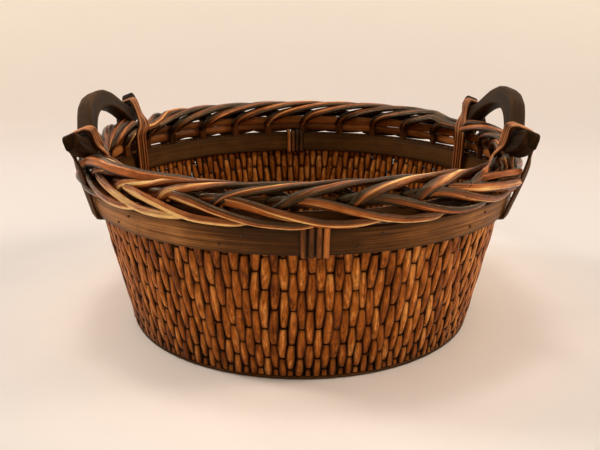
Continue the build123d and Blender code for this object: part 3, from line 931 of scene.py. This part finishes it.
# ---- ear handles: leaning boards, worn paler along their long edges ----
HANDLE_HALF_LENGTH = 118.2
HANDLE_THICKNESS = 13.2
HANDLE_ROUNDING = 2.4
THINNEST_HALF = 0.6  # half the height that a foot's end is left with
# Height above the bands' foot of a handle's two long edges, by distance along Y from its middle
TOP_ACROSS = (0, 20, 40, 54, 67, 78, 86, 94, 101, 109, 115, 117.2, HANDLE_HALF_LENGTH)
TOP_EDGES = {"left": (96.8, 95.4, 90.6, 84.2, 77, 71.8, 69.4, 69.4, 70.8, 74, 76.8, 75, 68),
             "right": (100.8, 98.8, 92.8, 85.2, 76.8, 72.4, 71, 72.4, 74.6, 77.6, 79.2, 77.6, 69)}
UNDER_ACROSS = (0, 20, 37, 50, 58, 64, 68, 71.5, 75, 92, 106, 114, HANDLE_HALF_LENGTH)
UNDER_EDGES = {"left": (80.4, 79, 75, 69.6, 65, 60.4, 56.8, 54.4, 53.6, 54.4, 58.4, 62.4, 66),
               "right": (83, 81.4, 77, 71.2, 66.2, 61.2, 57.2, 54.6, 53.6, 54.4, 58.4, 62.4, 67)}
HANDLE_STATIONS = 150
ARCH_SHIFT = 6.0  # the arches stand a little nearer the front than their feet do
HANDLE_TONE = 0.28
EDGE_WEAR = 0.5  # how much paler the long edges are
FOOT_DARKER = 0.25  # painted shade: how much darker the feet are, past this distance along Y and over this run
FOOT_FROM = 66.0
FOOT_RUN = 34.0
INNER_SHADE = 0.25  # painted shade on the inner face's lower half


def eased(values):
    """The values with their corners eased, except at both ends."""
    for _ in range(3):
        middle = (values[:-2] + 2 * values[1:-1] + values[2:]) / 4
        values = np.concatenate([values[:1], middle, values[-1:]])
    return values


def build_handles():
    lean = np.arctan(HANDLE_RUN)
    across = HANDLE_HALF_LENGTH * np.sin(np.linspace(-np.pi / 2, np.pi / 2, HANDLE_STATIONS))
    share = np.linspace(0, 1, HANDLE_STATIONS)
    place = np.abs(across + ARCH_SHIFT * (1 - (across / across.max()) ** 2))
    foot = rise(np.abs(across), FOOT_FROM, FOOT_RUN)
    corner = np.abs(np.prod(board_section(1.0, 1.0, 0.24), axis=1)) ** 3
    for side_name, side in SIDES.items():
        lift = np.interp(across, LIFT_ACROSS, LIFTS[side_name])
        high = eased(np.interp(place, TOP_ACROSS, TOP_EDGES[side_name]) + lift + drift(share, 0.35, 6))
        low = eased(np.interp(place, UNDER_ACROSS, UNDER_EDGES[side_name]) + drift(share, 0.3, 6))
        half_height = np.maximum((high - low) / 2, THINNEST_HALF)
        half_thick = HANDLE_THICKNESS / 2 + drift(share, 0.12, 5)
        outlines = []
        for tall, thick in zip(half_height, half_thick):
            rounding = np.minimum(HANDLE_ROUNDING, tall * 0.8)
            outlines.append(board_section(tall, thick, rounding) * (tall, thick))
        above, beyond = np.moveaxis(np.array(outlines), -1, 0)
        middle = (high + low) / 2
        slope = (middle[:, None] + above + BAND_BOTTOM - HANDLE_LEVEL) / np.cos(lean)
        out = HANDLE_THICKNESS / 2 + beyond
        x = HANDLE_INNER_FACE + slope * np.sin(lean) + out * np.cos(lean) + HANDLE_TOE * across[:, None]
        z = HANDLE_LEVEL + slope * np.cos(lean) - out * np.sin(lean)
        along = np.concatenate([[0], np.cumsum(np.hypot(np.diff(across), np.diff(middle)))])
        # Paler worn edges, painted shade on the feet, and painted shade on the inner face's lower half
        tone = HANDLE_TONE + EDGE_WEAR * corner + (drift(share, 0.12, 7) - FOOT_DARKER * foot)[:, None]
        shade = INNER_SHADE * (beyond < 0) * (above < 0)
        bundle = Bundle()
        points = rows_of(side * x, across[:, None], z)
        bundle.add_rings(points, rows_of(along[:, None], above, beyond), tone, shade)
        bundle.publish(f"handle_board_{side_name}", HANDLE_WOOD, "handle_wood", f"handle_{side_name}",
                       crease=60.0)


def finish_cad_nodes():
    """Give the band pins, whose CAD shapes are shown, their material."""
    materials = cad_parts["band_pins"].data.materials
    materials.clear()
    materials.append(iron_material())


# ---- studio: floor, lights and camera ----
CAMERA_PLACE = (-0.0005, -0.6964, 0.2956)
CAMERA_PITCH = 0.299
LENS = 43.968
SENSOR_WIDTH = 36.0
# The paper's colours by distance from the middle, in metres, so that it looks even: paler near the basket as
# painted light against its shadow, darker where the lamps' light pools as painted shade
PAPER_REACH = 2.4
PAPER_TONES = ((0.17, (243, 230, 218)), (0.36, (207, 200, 195)), (1.1, (220, 209, 202)),
               (PAPER_REACH, (254, 243, 229)))
FLAT_REACH = 4.0  # how far it lies flat to the sides and the front, and where it ends
PAPER_END = 9.0
EDGE_RISE = 0.2  # how steeply it curves up between
BEND_START = 1.1  # where it bends up behind the basket, the bend's radius and the paper's top
BEND_RADIUS = 2.2
PAPER_TOP = 7.0


def build_floor():
    """A paper sweep: flat under the basket, curving up behind it and, farther off, on its other sides."""
    outskirts = np.arange(FLAT_REACH, PAPER_END + 0.1, 0.5)
    columns = [*-outskirts[::-1], *outskirts]
    profile = [(-reach, 0.0) for reach in outskirts[::-1]] + [(BEND_START, 0.0)]
    for turn in np.radians(np.arange(6, 91, 6)):
        profile.append((BEND_START + BEND_RADIUS * np.sin(turn), BEND_RADIUS * (1 - np.cos(turn))))
    profile.append((BEND_START + BEND_RADIUS, PAPER_TOP))
    points = []
    for y, z in profile:
        for x in columns:
            beyond = max(abs(x) - FLAT_REACH, -y - FLAT_REACH, 0.0)
            points.append((x, y, max(z, EDGE_RISE * beyond**2)))
    index = np.arange(len(points)).reshape(len(profile), len(columns))
    faces = np.stack([index[:-1, :-1], index[:-1, 1:], index[1:, 1:], index[1:, :-1]], axis=-1)
    mesh = bpy.data.meshes.new("studio_floor")
    mesh.from_pydata(points, [], faces.reshape(-1, 4).tolist())
    mesh.shade_smooth()
    shader = Shader("studio_paper")
    place = shader.node("ShaderNodeTexCoord").outputs["Object"]
    mottle = shader.noise(place, 6.0, 4.0)
    distance = shader.node("ShaderNodeVectorMath", {0: place}, operation="LENGTH").outputs["Value"]
    reach = shader.weighted(shader.math("DIVIDE", distance, PAPER_REACH), (mottle, 0.04))
    colour = shader.ramp(reach, [(metres / PAPER_REACH, tone) for metres, tone in PAPER_TONES])
    mesh.materials.append(shader.finish({"Base Color": colour, "Roughness": 0.9}))
    floor = add_object("studio_floor", mesh)


def add_lamp(name, place, aim, size, power, colour, spread=180):
    """A square area light."""
    data = bpy.data.lights.new(name, "AREA")
    data.size = size
    data.energy = power
    data.color = colour
    data.spread = np.radians(spread)
    light = add_object(name, data)
    light.location = place
    direction = Vector(aim) - Vector(place)
    light.rotation_euler = direction.to_track_quat("-Z", "Y").to_euler()


def build_studio():
    build_floor()
    centre = (0.0, 0.0, 0.1)
    add_lamp("key", (-2.6, 0.5, 2.2), centre, 0.7, 3.9, (1.0, 0.98, 0.95), 55)
    add_lamp("right_fill", (2.7, -0.1, 1.8), centre, 0.9, 4.2, (1.0, 0.88, 0.74), 55)
    add_lamp("front_fill", (0.4, -2.8, 1.8), centre, 1.6, 4.0, (1.0, 0.98, 0.95))
    add_lamp("top_gloss", (-0.15, 0.0, 1.9), centre, 0.35, 6.0, (1.0, 0.96, 0.9))
    add_lamp("overhead", (0.0, 1.0, 3.2), (0.0, 1.0, 0.0), 5.0, 45.0, (1.0, 0.985, 0.96))
    world = bpy.data.worlds.new("studio_world")
    world.use_nodes = True
    background = world.node_tree.nodes["Background"]
    background.inputs["Color"].default_value = linear((242, 234, 226))
    background.inputs["Strength"].default_value = 0.7
    bpy.context.scene.world = world
    bpy.context.scene.view_settings.view_transform = "Standard"


def build_camera():
    data = bpy.data.cameras.new("camera")
    data.sensor_fit = "HORIZONTAL"
    data.sensor_width = SENSOR_WIDTH
    data.lens = LENS
    data.clip_start = 0.02
    data.clip_end = 60.0
    camera = add_object("camera", data)
    camera.location = CAMERA_PLACE
    camera.rotation_euler = (np.pi / 2 - CAMERA_PITCH, 0.0, 0.0)
    bpy.context.scene.camera = camera


build_wall()
build_wefts()
build_base()
build_hoops()
build_wraps()
build_gallery()
build_border()
build_lashings()
build_handles()
finish_cad_nodes()
build_studio()
build_camera()

bpy.context.view_layer.update()
